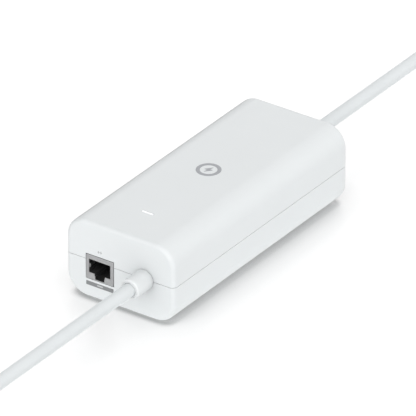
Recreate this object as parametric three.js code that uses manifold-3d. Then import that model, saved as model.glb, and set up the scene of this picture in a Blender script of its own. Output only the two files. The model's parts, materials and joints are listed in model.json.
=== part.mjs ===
// Power-over-Ethernet injector: a two-shell plastic housing with a shielded
// modular jack and a captive lead on the front face, a captive supply lead at
// the rear, and the power electronics inside. Every separate physical piece is
// its own named mesh.
//
// Millimetres. +X is the housing's right side seen from the front, -Y is the
// front face, +Z is up. The origin is the centre of the footprint, on the
// plane the rubber feet stand on.
import * as THREE from 'three';
import { mergeVertices } from 'three/addons/utils/BufferGeometryUtils.js';
import Module from 'manifold-3d';

const wasm = await Module();
wasm.setup();

// ---- driving dimensions -----------------------------------------------------
const W = 62.9;             // housing width
const L = 146.0;            // housing length
const H = 41.95;            // housing height without the feet
const FOOT_PROUD = 0.6;     // how far the feet stand out below the housing
const R_LONG = 11.3;        // radius of the four long edges
const R_END = 2.4;          // fillet round the two end faces
const WALL = 2.4;           // shell wall
const PART_Z = FOOT_PROUD + 20.96;   // parting line height
const PART_GAP = 0.3;       // groove between the two shells
const Z0 = FOOT_PROUD;      // underside of the housing
const Z1 = FOOT_PROUD + H;  // top of the housing
const YF = -L / 2;          // front face
const YR = L / 2;           // rear face

const JACK_X = -11.85, JACK_Z = Z0 + 17.165;
const JACK_W = 16.0, JACK_H = 13.23, JACK_D = 21.0;
const OPEN_W = 12.5, OPEN_H = 7.4, OPEN_TOP = 2.26;   // plug opening in the shield
const NOTCH1_W = 6.0, NOTCH1_H = 1.25, NOTCH2_W = 5.4, NOTCH_DEPTH = 3.0;

const CABLE_R = 3.4;
const FRONT_X = 14.3, REAR_X = 0, CABLE_Z = Z0 + 21.04;
const COLLAR_OUT = 12.6;    // how far a strain relief stands out
const COLLAR_BASE_R = 5.32, COLLAR_RIM_R = 5.22, BORE_R = 3.7;
const CABLE_END = 196;      // distance of each cut cable end from the centre
const STUB_OUT = 2.4;       // fixed cable beyond the rim
const BASE_LEN = 14;        // first bending length
const GAP = 0.3;            // running gap between cable lengths

const PCB_TOP = Z0 + 10.4, PCB_T = 1.6;

// ---- materials --------------------------------------------------------------
const mat = (color, roughness, metalness = 0) =>
  new THREE.MeshStandardMaterial({ color, roughness, metalness });
const M = {
  shell: mat(0xe9edee, 0.38), relief: mat(0xecf0f1, 0.45), cable: mat(0xe4e8e9, 0.5),
  steel: mat(0xaeb1b4, 0.32, 1), black: mat(0x17181a, 0.5), gold: mat(0xd2a544, 0.3, 1),
  print: mat(0x8d9296, 0.6), mark: mat(0xb3b6bb, 0.45), lens: mat(0xf8fbff, 0.2),
  rubber: mat(0xc9cccd, 0.8), pcb: mat(0x1c5a3a, 0.45), led: mat(0xf3f6ff, 0.3),
  film: mat(0xe8dfc6, 0.5), yellow: mat(0xd8b23a, 0.5), blue: mat(0x2c4f8f, 0.5),
  ferrite: mat(0x2a2b2d, 0.7), winding: mat(0xd8b04a, 0.55), alu: mat(0xb9bdc1, 0.35, 1),
  sleeve: mat(0x1d2229, 0.4), copper: mat(0xb8703a, 0.35, 1), header: mat(0xe9e6da, 0.5),
  ceramic: mat(0xe6e4dc, 0.4),
};

// ---- geometry helpers -------------------------------------------------------
const clean = (g) => {                    // position-only, merged, facing out
  let q = g.index ? g.toNonIndexed() : g.clone();
  for (const k of Object.keys(q.attributes)) if (k !== 'position') q.deleteAttribute(k);
  q = mergeVertices(q, 1e-4);
  const p = q.attributes.position, ix = Array.from(q.index.array), keep = [];
  for (let i = 0; i < ix.length; i += 3) {
    const [a, b, c] = [ix[i], ix[i + 1], ix[i + 2]];
    if (a !== b && b !== c && a !== c) keep.push(a, b, c);
  }
  const va = new THREE.Vector3(), vb = new THREE.Vector3(), vc = new THREE.Vector3();
  let vol = 0;
  for (let i = 0; i < keep.length; i += 3) {
    va.fromBufferAttribute(p, keep[i]); vb.fromBufferAttribute(p, keep[i + 1]);
    vc.fromBufferAttribute(p, keep[i + 2]);
    vol += va.dot(vb.cross(vc));
  }
  if (vol < 0) for (let i = 0; i < keep.length; i += 3) [keep[i + 1], keep[i + 2]] = [keep[i + 2], keep[i + 1]];
  q.setIndex(keep);
  return q;
};
const solid = (g) => {
  const q = clean(g);
  return new wasm.Manifold(new wasm.Mesh({
    numProp: 3,
    vertProperties: new Float32Array(q.attributes.position.array),
    triVerts: new Uint32Array(q.index.array),
  }));
};
const geo = (man) => {
  const m = man.getMesh(), g = new THREE.BufferGeometry();
  g.setAttribute('position', new THREE.BufferAttribute(new Float32Array(m.vertProperties), 3));
  g.setIndex(Array.from(m.triVerts));
  return g;
};
const join = (...list) => geo(list.slice(1).reduce((a, g) => a.add(solid(g)), solid(list[0])));
const cut = (base, ...tools) => geo(tools.reduce((a, g) => a.subtract(solid(g)), solid(base)));
const keepIn = (base, tool) => geo(solid(base).intersect(solid(tool)));

const box = (x0, x1, y0, y1, z0, z1) =>
  new THREE.BoxGeometry(x1 - x0, y1 - y0, z1 - z0)
    .translate((x0 + x1) / 2, (y0 + y1) / 2, (z0 + z1) / 2);
const cyl = (r, a, b, x, y, axis, seg = 20) => {   // axis 'z': at (x, y); 'y': at (x, z=y); 'x': at (y=x, z=y)
  const g = new THREE.CylinderGeometry(r, r, b - a, seg);
  if (axis === 'y') return g.translate(x, (a + b) / 2, y);
  if (axis === 'x') return g.rotateZ(Math.PI / 2).translate((a + b) / 2, x, y);
  return g.rotateX(Math.PI / 2).translate(x, y, (a + b) / 2);
};
// revolve a closed profile of [radius, y] about the line x = cx, z = cz
const latheY = (pts, cx, cz, seg = 24) =>
  new THREE.LatheGeometry(pts.map(([r, y]) => new THREE.Vector2(r, y)), seg).translate(cx, 0, cz);
// revolve a profile of [radius, z] about the vertical line x = cx, y = cy
const latheZ = (pts, cx, cy, seg = 24) =>
  new THREE.LatheGeometry(pts.map(([r, z]) => new THREE.Vector2(r, z)), seg)
    .rotateX(Math.PI / 2).translate(cx, cy, 0);
const roundRect = (w, h, r, cx = 0, cy = 0) => {
  const s = new THREE.Shape(), a = cx - w / 2, b = cx + w / 2, c = cy - h / 2, d = cy + h / 2;
  s.moveTo(a + r, c); s.lineTo(b - r, c); s.absarc(b - r, c + r, r, -Math.PI / 2, 0, false);
  s.lineTo(b, d - r); s.absarc(b - r, d - r, r, 0, Math.PI / 2, false);
  s.lineTo(a + r, d); s.absarc(a + r, d - r, r, Math.PI / 2, Math.PI, false);
  s.lineTo(a, c + r); s.absarc(a + r, c + r, r, Math.PI, Math.PI * 1.5, false);
  return s;
};
const poly = (pts) => new THREE.Shape(pts.map(([x, y]) => new THREE.Vector2(x, y)));
// a shape drawn in X, Z and extruded along Y from y0 to y1
const alongY = (shape, y0, y1, bevel = 0, segs = 6, bevelSegs = 3) =>
  new THREE.ExtrudeGeometry(shape, {
    depth: y1 - y0 - 2 * bevel, curveSegments: segs, bevelEnabled: bevel > 0,
    bevelThickness: bevel, bevelSize: bevel, bevelOffset: -bevel, bevelSegments: bevelSegs,
  }).rotateX(Math.PI / 2).translate(0, y1 - bevel, 0);
// a shape drawn in X, Y and extruded along Z
const alongZ = (shape, z0, z1, segs = 6) =>
  new THREE.ExtrudeGeometry(shape, { depth: z1 - z0, curveSegments: segs, bevelEnabled: false })
    .translate(0, 0, z0);
// a shape drawn in Y, Z and extruded along X
const alongX = (shape, x0, x1, segs = 6) =>
  new THREE.ExtrudeGeometry(shape, { depth: x1 - x0, curveSegments: segs, bevelEnabled: false })
    .rotateX(Math.PI / 2).rotateZ(Math.PI / 2).translate(x0, 0, 0);

const part = new THREE.Group();
const add = (name, geometry, material, group = part) => {
  const g = geometry.index ? geometry.toNonIndexed() : geometry;
  for (const k of Object.keys(g.attributes)) if (k !== 'position') g.deleteAttribute(k);
  const q = clean(g);
  q.computeVertexNormals();
  const mesh = new THREE.Mesh(q, material);
  mesh.name = name;
  group.add(mesh);
  return mesh;
};

// ---- housing shells ---------------------------------------------------------
const ZC = Z0 + H / 2;
const outer = () => alongY(roundRect(W, H, R_LONG, 0, ZC), YF, YR, R_END, 7, 3);
const cavity = (grow = 0) => alongY(
  roundRect(W - 2 * WALL + 2 * grow, H - 2 * WALL + 2 * grow, R_LONG - WALL + grow, 0, ZC),
  YF + WALL - grow, YR - WALL + grow, 0, 5);
const big = 200;
const upper = box(-big, big, -big, big, PART_Z + PART_GAP / 2, big);
const lower = box(-big, big, -big, big, -big, PART_Z - PART_GAP / 2);
const jackCut = box(JACK_X - JACK_W / 2 - 0.25, JACK_X + JACK_W / 2 + 0.25, YF - 5, YF + WALL + 3,
  JACK_Z - JACK_H / 2 - 0.25, JACK_Z + JACK_H / 2 + 0.25);
const neckR = 4.6;
const frontHole = cyl(neckR, YF - 5, YF + WALL + 3, FRONT_X, CABLE_Z, 'y', 24);
const rearHole = cyl(neckR, YR - WALL - 3, YR + 5, REAR_X, CABLE_Z, 'y', 24);
const tongueHi = PART_Z + 1.4;
// inner half of the wall: a tongue on the lower shell, a rebate in the upper
const tongueBand = (grow, z0, z1) =>
  cut(keepIn(cavity(1.1 + grow), box(-big, big, -big, big, z0, z1)), cavity(-grow));
const screwXY = [[-17.5, -43], [17.5, -43], [-17.5, 43], [17.5, 43]];
const footXY = [[-14, -61], [14, -61], [-14, 61], [14, 61]];
const ledX = 6.6 / 2, ledY = 1.25 / 2, LED_Y = -50.1;

{
  let s = solid(outer()).intersect(solid(upper)).subtract(solid(cavity()));
  s = s.subtract(solid(keepIn(cavity(1.1 + 0.3), box(-big, big, -big, big, PART_Z - 2, tongueHi + 0.3))));
  for (const [x, y] of screwXY)
    s = s.add(solid(cyl(3.2, PCB_TOP + 0.05, Z1 - WALL + 0.6, x, y, 'z', 16)))
      .subtract(solid(cyl(1.6, PCB_TOP - 1, PCB_TOP + 12.5, x, y, 'z', 12)));
  for (const g of [jackCut, frontHole, rearHole,
    box(-ledX - 0.1, ledX + 0.1, LED_Y - ledY - 0.1, LED_Y + ledY + 0.1, Z1 - 6, Z1 + 2)]) s = s.subtract(solid(g));
  add('top_cover', geo(s), M.shell);
}
{
  let s = solid(outer()).intersect(solid(lower)).subtract(solid(cavity()));
  s = s.add(solid(tongueBand(0, PART_Z - 1.2, tongueHi)));
  for (const [x, y] of screwXY)
    s = s.add(solid(cyl(4.8, Z0 + 1, Z0 + 4.2, x, y, 'z', 16)))
      .add(solid(cyl(3.2, Z0 + 1, PCB_TOP - PCB_T - 0.05, x, y, 'z', 16)))
      .subtract(solid(cyl(1.75, Z0 - 1, PCB_TOP, x, y, 'z', 12)))
      .subtract(solid(cyl(3.3, Z0 - 1, Z0 + 2.6, x, y, 'z', 20)));
  for (const [x, y] of footXY) s = s.subtract(solid(cyl(5.15, Z0 - 1, Z0 + 1.0, x, y, 'z', 28)));
  for (const g of [jackCut, frontHole, rearHole]) s = s.subtract(solid(g));
  add('bottom_cover', geo(s), M.shell);
}

// ---- feet and screws --------------------------------------------------------
footXY.forEach(([x, y], i) => add(`foot_${i + 1}`,
  latheZ([[0, 0], [4.7, 0], [5.0, 0.3], [5.0, Z0 + 0.95], [0, Z0 + 0.95]], x, y, 28), M.rubber));
screwXY.forEach(([x, y], i) => {
  const head = latheZ([[0, Z0 + 0.5], [2.3, Z0 + 0.5], [2.9, Z0 + 1.0], [2.9, Z0 + 2.5], [1.4, Z0 + 2.5],
    [1.4, Z0 + 19.5], [0.7, Z0 + 20.5], [0, Z0 + 20.5]], x, y, 16);
  add(`screw_${i + 1}`, cut(head,
    box(x - 1.6, x + 1.6, y - 0.3, y + 0.3, Z0, Z0 + 1.5),
    box(x - 0.3, x + 0.3, y - 1.6, y + 1.6, Z0, Z0 + 1.5)), M.steel);
});

// ---- leads ------------------------------------------------------------------
// s = -1 for the front lead (runs along -Y), +1 for the rear lead
const lead = (prefix, x, s, lobes) => {
  const f = s * L / 2;                           // face the lead leaves
  const at = (d) => f + s * d;                   // d outwards from the face
  const prof = (pts) => pts.map(([r, d]) => [r, at(d)]);
  add(`${prefix}_strain_relief`, latheY(prof([
    [BORE_R, -5.0], [6.4, -5.0], [6.4, -2.65], [4.3, -2.65], [4.3, 0.08], [COLLAR_BASE_R, 0.08],
    [COLLAR_RIM_R, COLLAR_OUT - 1.2], [COLLAR_RIM_R - 0.35, COLLAR_OUT - 0.65], [4.2, COLLAR_OUT],
    [BORE_R + 0.15, COLLAR_OUT], [BORE_R + 0.05, COLLAR_OUT - 0.6], [BORE_R, -5.0],
  ]), x, CABLE_Z, 24), M.relief);
  const d1 = COLLAR_OUT + STUB_OUT;              // end of the fixed length
  const p1 = d1 + GAP + CABLE_R;                 // first bending centre
  const e1 = p1 + BASE_LEN;
  const p2 = e1 + GAP + CABLE_R;                 // second bending centre
  const e2 = CABLE_END - L / 2;
  const ball = (p) => [20, 45, 70].map((a) => a * Math.PI / 180)
    .map((a) => [CABLE_R * Math.sin(a), p - CABLE_R * Math.cos(a)]);
  add(`${prefix}_cable_stub`, latheY(prof([[0, -8], [CABLE_R, -8], [CABLE_R, d1], [0, d1]]), x, CABLE_Z, 20), M.cable);
  add(`${prefix}_cable_base`, latheY(prof([[0, p1 - CABLE_R], ...ball(p1), [CABLE_R, p1], [CABLE_R, e1], [0, e1]]),
    x, CABLE_Z, 20), M.cable);
  add(`${prefix}_cable_run`, latheY(prof([[0, p2 - CABLE_R], ...ball(p2), [CABLE_R, p2], [CABLE_R, e2 - 2],
    [2.45, e2 - 2], [2.45, e2 - 8], [0, e2 - 8]]), x, CABLE_Z, 20), M.cable);
  const star = new THREE.Shape();
  const n = lobes * 6;
  for (let i = 0; i < n; i++) {
    const a = i / n * 2 * Math.PI, r = 1.62 + 0.6 * Math.abs(Math.cos(a * lobes / 2));
    if (i) star.lineTo(x + r * Math.cos(a), CABLE_Z + r * Math.sin(a));
    else star.moveTo(x + r * Math.cos(a), CABLE_Z + r * Math.sin(a));
  }
  star.closePath();
  const ya = at(e2 - 7.9), yb = at(e2);
  add(`${prefix}_cable_core`, alongY(star, Math.min(ya, yb), Math.max(ya, yb)), M.copper);
};
lead('front', FRONT_X, -1, 4);
lead('rear', REAR_X, 1, 3);

// ---- modular jack -----------------------------------------------------------
const jx0 = JACK_X - JACK_W / 2, jx1 = JACK_X + JACK_W / 2;
const jz0 = JACK_Z - JACK_H / 2, jz1 = JACK_Z + JACK_H / 2;
const jy0 = YF - 0.1, jy1 = YF + JACK_D;
const oz1 = jz1 - OPEN_TOP, oz0 = oz1 - OPEN_H;
const openShape = () => poly([
  [JACK_X - OPEN_W / 2, oz1], [JACK_X - OPEN_W / 2, oz0], [JACK_X - NOTCH1_W / 2, oz0],
  [JACK_X - NOTCH1_W / 2, oz0 - NOTCH1_H], [JACK_X - NOTCH2_W / 2, oz0 - NOTCH1_H],
  [JACK_X - NOTCH2_W / 2, oz0 - NOTCH_DEPTH], [JACK_X + NOTCH2_W / 2, oz0 - NOTCH_DEPTH],
  [JACK_X + NOTCH2_W / 2, oz0 - NOTCH1_H], [JACK_X + NOTCH1_W / 2, oz0 - NOTCH1_H],
  [JACK_X + NOTCH1_W / 2, oz0], [JACK_X + OPEN_W / 2, oz0], [JACK_X + OPEN_W / 2, oz1]]);
const TS = 0.35;            // shield sheet
add('jack_shield', cut(box(jx0, jx1, jy0, jy1, jz0, jz1),
  box(jx0 + TS, jx1 - TS, jy0 + TS, jy1 + 1, jz0 + TS, jz1 - TS),
  alongY(openShape(), jy0 - 1, jy0 + 1)), M.steel);
const fingerZ0 = JACK_Z - 0.9, fingerZ1 = JACK_Z + 1.5;
const combY0 = YF + 1.2, combY1 = YF + 15.2;
add('jack_housing', cut(box(jx0 + TS + 0.1, jx1 - TS - 0.1, jy0 + TS + 0.1, jy1 - 0.3, jz0 + TS + 0.1, jz1 - TS - 0.1),
  alongY(openShape(), jy0 - 1, YF + 14.4),
  box(JACK_X - 5.3, JACK_X + 5.3, combY0, combY1, oz0 + 1, oz1 + 1.45),
  box(jx0 - 1, JACK_X, jy0 - 1, YF + 8.6, fingerZ0 - 0.3, fingerZ1 + 0.3),
  box(JACK_X, jx1 + 1, jy0 - 1, YF + 8.6, fingerZ0 - 0.3, fingerZ1 + 0.3)), M.black);
// spring contacts: folded down from the front edge, sloping back and down
const foldY = YF + 2.4, foldZ = oz1 + 0.75;
for (let i = 0; i < 8; i++) {
  const x = JACK_X + (i - 3.5) * 1.02;
  const t = 0.16, tipY = YF + 11.0, tipZ = oz1 - 1.9;
  add(`jack_contact_${i + 1}`, alongX(poly([
    [foldY - 0.25, foldZ + 0.1], [foldY - 0.05, foldZ - 0.25], [foldY + 0.4, foldZ - 0.45],
    [tipY - 0.7, tipZ - t], [tipY, tipZ], [tipY - 0.1, tipZ + 0.25], [tipY - 0.7, tipZ + t],
    [foldY + 0.45, foldZ - 0.1], [foldY + 0.1, foldZ + 0.2]]), x - 0.22, x + 0.22), M.gold);
}
// side spring fingers, bowed into the opening
for (const [name, s] of [['left', -1], ['right', 1]]) {
  const ex = JACK_X + s * (OPEN_W / 2 + 0.35), t = 0.22;
  const line = [[ex, YF + 0.55], [ex - s * 0.85, YF + 1.5], [ex - s * 0.3, YF + 5.2]];
  const pts = [...line, ...line.slice().reverse().map(([x, y]) => [x + s * t, y])];
  add(`shield_finger_${name}`, alongZ(poly(pts), fingerZ0, fingerZ1), M.steel);
}

// ---- marks and light --------------------------------------------------------
add('port_label_bar', box(jx0, jx1, YF - 0.14, YF - 0.03, Z0 + 7.0, Z0 + 9.15), M.print);
{ // generic double arrow above the jack
  const cx = -11.85, cz = Z0 + 26.75, w = 1.35, h = 0.95, q = 0.3;
  add('port_icon', alongY(poly([[cx - w, cz], [cx - w + 0.8, cz + h], [cx - w + 0.8, cz + q], [cx + w - 0.8, cz + q],
    [cx + w - 0.8, cz + h], [cx + w, cz], [cx + w - 0.8, cz - h], [cx + w - 0.8, cz - q], [cx - w + 0.8, cz - q],
    [cx - w + 0.8, cz - h]]), YF - 0.12, YF - 0.03), M.print);
}
{ // generic power mark: a ring round a small bolt
  const cy = 0.5, ro = 6.2, ri = 4.5, z = Z1 + 0.03, t = 0.1;
  add('top_mark_ring', latheZ([[ri, z], [ro, z], [ro, z + t], [ri, z + t], [ri, z]], 0, cy, 36), M.mark);
  add('top_mark_bolt', alongZ(poly([[0.9, 3.2], [-2.0, -0.5], [-0.25, -0.5], [-0.9, -3.2], [2.0, 0.5], [0.25, 0.5]]
    .map(([x, y]) => [x, y + cy])), z, z + t), M.mark);
}
add('led_light_pipe', join(box(-ledX, ledX, LED_Y - ledY, LED_Y + ledY, Z1 - WALL - 0.5, Z1 + 0.02),
  box(-ledX - 0.9, ledX + 0.9, LED_Y - 1.6, LED_Y + 1.6, Z1 - WALL - 1.6, Z1 - WALL - 0.12),
  box(-1.6, 1.6, LED_Y - 1.0, LED_Y + 1.0, PCB_TOP + 1.4, Z1 - WALL - 1)), M.lens);

// ---- circuit board and electronics -------------------------------------------
const B = PCB_TOP;
{
  let s = solid(box(-26, 26, YF + 5.5, YR - 8, B - PCB_T, B));
  for (const [x, y] of screwXY) s = s.subtract(solid(cyl(1.75, B - 3, B + 1, x, y, 'z', 12)));
  add('main_pcb', geo(s), M.pcb);
}
// the jack's back half stands on the board; 0.05 mm between stacked pieces
const on = B + 0.05;
add('status_led', box(-0.8, 0.8, LED_Y - 0.4, LED_Y + 0.4, on, B + 0.9), M.led);
add('insulation_sheet', cut(box(-24, 24, -66, 62, B - PCB_T - 2.6, B - PCB_T - 2.2),
  ...screwXY.map(([x, y]) => cyl(3.6, 0, B, x, y, 'z', 16))), M.film);
// mains side, at the rear
add('input_wire_header', cut(box(-6, 6, 54, 62, on, on + 9), box(-4.5, -1, 55.5, 60.5, on + 3, on + 12),
  box(1, 4.5, 55.5, 60.5, on + 3, on + 12)), M.header);
add('fuse', latheY([[0, 36], [2.5, 36], [2.6, 38], [2.35, 38.5], [2.35, 50.5], [2.6, 51], [2.5, 53], [0, 53]], 23.0, on + 3.2, 12), M.ceramic);
add('varistor', cyl(6.0, 48.2, 52.2, -13, on + 6.1, 'y', 20), M.blue);
add('x_capacitor', alongY(roundRect(17, 13, 1, -3.2, on + 6.5), 40, 47.5, 0, 3), M.yellow);
add('emi_choke', latheY([[4.2, 22], [8.6, 22], [8.6, 33], [4.2, 33], [4.2, 22]], 15.2, on + 8.7, 20), M.winding);
add('bridge_rectifier', box(-3.5, 3.5, 22, 38, on, on + 12), M.black);
add('bulk_capacitor_1', latheY([[0, 9.2], [6.9, 9.2], [7.2, 9.8], [7.2, 35], [6.9, 35.6], [0, 35.6]], -12.2, on + 7.3, 20), M.sleeve);
add('bulk_capacitor_2', latheY([[0, 9.2], [5.9, 9.2], [6.2, 9.8], [6.2, 28], [5.9, 28.6], [0, 28.6]], -12.2, on + 21.2, 20), M.sleeve);
add('primary_heatsink', box(22.2, 23.8, -14, 20, on, on + 20), M.alu);
add('switch_transistor', box(17.4, 21.9, 0, 10.4, on + 3.2, on + 18.6), M.black);
// isolation
{
  const cx = 1.5, cy = -3, w = 30, d = 15;
  add('transformer_core', cut(box(cx - w / 2, cx + w / 2, cy - d / 2, cy + d / 2, on + 1, on + 25),
    box(cx - 10, cx - 4.2, cy - 20, cy + 20, on + 5, on + 21),
    box(cx + 4.2, cx + 10, cy - 20, cy + 20, on + 5, on + 21)), M.ferrite);
  add('transformer_winding', cut(alongZ(roundRect(19.2, d + 8, 3, cx, cy), on + 5.3, on + 20.7, 4),
    box(cx - 4.5, cx + 4.5, cy - d / 2 - 0.3, cy + d / 2 + 0.3, on, on + 30)), M.film);
}
add('optocoupler', box(-24, -17.4, -6, -1.4, on, on + 3.6), M.black);
// output side, at the front
add('secondary_heatsink', box(-22.6, -21, -38, -12, on, on + 18), M.alu);
add('output_inductor', latheZ([[3.0, on], [7.2, on], [7.2, on + 7.5], [3.0, on + 7.5], [3.0, on]], -10.5, -26, 20), M.winding);
add('output_capacitor', latheZ([[0, on], [4.8, on], [5.0, on + 0.5], [5.0, on + 19.5], [4.7, on + 20], [0, on + 20]], 6.8, -24, 20), M.sleeve);
add('poe_controller_chip', box(-6, 1, -42, -35, on, on + 1.1), M.black);
add('ethernet_magnetics', box(-14, -2, -51.3, -42.7, on, on + 6.2), M.black);
add('output_wire_header', cut(box(9.5, 19.5, -60, -52, on, on + 9), box(10.8, 13.8, -58.5, -53.5, on + 3, on + 12),
  box(15.2, 18.2, -58.5, -53.5, on + 3, on + 12)), M.header);

export default part;
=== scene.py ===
# Looks for the PoE injector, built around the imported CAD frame.
# Lengths inside the helpers are millimetres; meshes are made in metres.
import json
import math

import bmesh
import bpy
from mathutils import Matrix, Vector


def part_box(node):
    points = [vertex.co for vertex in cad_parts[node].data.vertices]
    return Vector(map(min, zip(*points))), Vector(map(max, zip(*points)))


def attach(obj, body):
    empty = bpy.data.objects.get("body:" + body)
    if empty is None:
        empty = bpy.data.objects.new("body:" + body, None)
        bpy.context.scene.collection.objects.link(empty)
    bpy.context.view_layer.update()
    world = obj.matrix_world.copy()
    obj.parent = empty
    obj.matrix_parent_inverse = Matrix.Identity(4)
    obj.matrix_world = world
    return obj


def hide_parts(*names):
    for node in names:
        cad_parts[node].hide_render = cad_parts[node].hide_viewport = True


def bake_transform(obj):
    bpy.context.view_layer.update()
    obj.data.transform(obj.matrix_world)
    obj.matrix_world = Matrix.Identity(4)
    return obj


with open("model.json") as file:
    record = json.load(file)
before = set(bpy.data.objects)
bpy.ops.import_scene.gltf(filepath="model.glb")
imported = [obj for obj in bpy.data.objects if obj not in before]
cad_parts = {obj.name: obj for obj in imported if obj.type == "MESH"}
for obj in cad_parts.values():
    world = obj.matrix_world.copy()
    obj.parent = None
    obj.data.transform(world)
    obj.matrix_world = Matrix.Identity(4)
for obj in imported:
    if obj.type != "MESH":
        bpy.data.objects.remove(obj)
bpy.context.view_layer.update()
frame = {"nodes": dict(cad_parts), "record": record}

MM = 0.001


def mmbox(node):
    lo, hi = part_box(node)
    return [v * 1000 for v in lo], [v * 1000 for v in hi]


# ---- dimensions, read from the frame ------------------------------------------
t_lo, t_hi = mmbox("top_cover")
b_lo, b_hi = mmbox("bottom_cover")
W, L = b_hi[0] - b_lo[0], b_hi[1] - b_lo[1]
YF, YR = b_lo[1], b_hi[1]
Z0, Z1 = b_lo[2], t_hi[2]
H = Z1 - Z0
ZC = (Z0 + Z1) / 2
PART_Z = b_hi[2] - 1.4
R_LONG, R_END, WALL = 11.3, 2.4, 2.4
s_lo, s_hi = mmbox("jack_shield")
JX = (s_lo[0] + s_hi[0]) / 2
JZ = (s_lo[2] + s_hi[2]) / 2
JW, JH = s_hi[0] - s_lo[0], s_hi[2] - s_lo[2]
OPEN_W, OPEN_H, OPEN_TOP = 12.5, 7.4, 2.26
N1W, N1H, N2W, ND = 6.0, 1.25, 5.4, 3.0
OZ1 = s_hi[2] - OPEN_TOP
OZ0 = OZ1 - OPEN_H
led_lo, led_hi = mmbox("led_light_pipe")
LED_Y = (led_lo[1] + led_hi[1]) / 2
c_lo, c_hi = mmbox("front_cable_run")
r_lo, r_hi = mmbox("rear_cable_run")
CABLE_R = (c_hi[0] - c_lo[0]) / 2
CABLE_Z = (c_lo[2] + c_hi[2]) / 2
FRONT_X = (c_lo[0] + c_hi[0]) / 2
REAR_X = (r_lo[0] + r_hi[0]) / 2
fr_lo, fr_hi = mmbox("front_strain_relief")
COLLAR_OUT = YF - fr_lo[1]
SCREWS = [((mmbox(f"screw_{i}")[0][0] + mmbox(f"screw_{i}")[1][0]) / 2,
           (mmbox(f"screw_{i}")[0][1] + mmbox(f"screw_{i}")[1][1]) / 2) for i in (1, 2, 3, 4)]
FEET = [((mmbox(f"foot_{i}")[0][0] + mmbox(f"foot_{i}")[1][0]) / 2,
         (mmbox(f"foot_{i}")[0][1] + mmbox(f"foot_{i}")[1][1]) / 2) for i in (1, 2, 3, 4)]


# ---- materials ------------------------------------------------------------------
class Nodes:
    """A principled material whose colour, roughness and bump come from procedural nodes."""

    def __init__(self, name, color, rough, metal=0.0, spec=0.5, coat=0.0, coat_rough=0.1, sss=0.0):
        self.mat = bpy.data.materials.new(name)
        self.mat.use_nodes = True
        nt = self.nt = self.mat.node_tree
        self.b = nt.nodes["Principled BSDF"]
        self.out = nt.nodes["Material Output"]
        self.tc = nt.nodes.new("ShaderNodeTexCoord")
        self.color = color
        self.b.inputs["Base Color"].default_value = (*color, 1)
        self.b.inputs["Roughness"].default_value = rough
        self.b.inputs["Metallic"].default_value = metal
        self.b.inputs["Specular IOR Level"].default_value = spec
        self.b.inputs["Coat Weight"].default_value = coat
        self.b.inputs["Coat Roughness"].default_value = coat_rough
        if sss:
            self.b.inputs["Subsurface Weight"].default_value = sss
            self.b.inputs["Subsurface Radius"].default_value = (1.0, 0.95, 0.9)
            self.b.inputs["Subsurface Scale"].default_value = 0.0008
        self.normal = None

    def link(self, a, b):
        self.nt.links.new(a, b)

    def mapping(self, scale=(1, 1, 1), loc=(0, 0, 0)):
        m = self.nt.nodes.new("ShaderNodeMapping")
        m.inputs["Scale"].default_value = scale
        m.inputs["Location"].default_value = loc
        self.link(self.tc.outputs["Object"], m.inputs["Vector"])
        return m.outputs["Vector"]

    def noise(self, scale, detail=2.0, rough=0.5, vec=None, stretch=(1, 1, 1)):
        n = self.nt.nodes.new("ShaderNodeTexNoise")
        n.inputs["Scale"].default_value = scale
        n.inputs["Detail"].default_value = detail
        n.inputs["Roughness"].default_value = rough
        self.link(vec or self.mapping(stretch), n.inputs["Vector"])
        return n.outputs["Fac"]

    def ramp(self, fac, lo, hi, p0=0.3, p1=0.7):
        r = self.nt.nodes.new("ShaderNodeMapRange")
        r.inputs["From Min"].default_value = p0
        r.inputs["From Max"].default_value = p1
        r.inputs["To Min"].default_value = lo
        r.inputs["To Max"].default_value = hi
        self.link(fac, r.inputs["Value"])
        return r.outputs["Result"]

    def vary_rough(self, fac, lo, hi):
        self.link(self.ramp(fac, lo, hi), self.b.inputs["Roughness"])
        return self

    def vary_color(self, fac, c0, c1, p0=0.3, p1=0.7):
        m = self.nt.nodes.new("ShaderNodeMix")
        m.data_type = "RGBA"
        m.inputs["A"].default_value = (*c0, 1)
        m.inputs["B"].default_value = (*c1, 1)
        self.link(self.ramp(fac, 0, 1, p0, p1), m.inputs["Factor"])
        self.link(m.outputs["Result"], self.b.inputs["Base Color"])
        return m

    def bump(self, fac, strength, distance):
        n = self.nt.nodes.new("ShaderNodeBump")
        n.inputs["Strength"].default_value = strength
        n.inputs["Distance"].default_value = distance
        self.link(fac, n.inputs["Height"])
        if self.normal is not None:
            self.link(self.normal, n.inputs["Normal"])
        self.normal = n.outputs["Normal"]
        self.link(self.normal, self.b.inputs["Normal"])
        return self


def paint_contact_shade(m, k, distance, samples=8):
    """Paints shade into the colour: darkens it gently where neighbouring surfaces stand close, driven by an occlusion
    node.
    """
    nt = m.nt
    src = m.b.inputs["Base Color"].links[0].from_socket
    painted_shade_ao = nt.nodes.new("ShaderNodeAmbientOcclusion")
    painted_shade_ao.samples = samples
    painted_shade_ao.inputs["Distance"].default_value = distance
    r = nt.nodes.new("ShaderNodeMapRange")
    r.inputs["To Min"].default_value = 1 - k
    r.inputs["To Max"].default_value = 1
    nt.links.new(painted_shade_ao.outputs["AO"], r.inputs["Value"])
    mix = nt.nodes.new("ShaderNodeMix")
    mix.data_type, mix.blend_type = "RGBA", "MULTIPLY"
    mix.inputs["Factor"].default_value = 1
    nt.links.new(src, mix.inputs["A"])
    nt.links.new(r.outputs["Result"], mix.inputs["B"])
    nt.links.new(mix.outputs["Result"], m.b.inputs["Base Color"])


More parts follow.
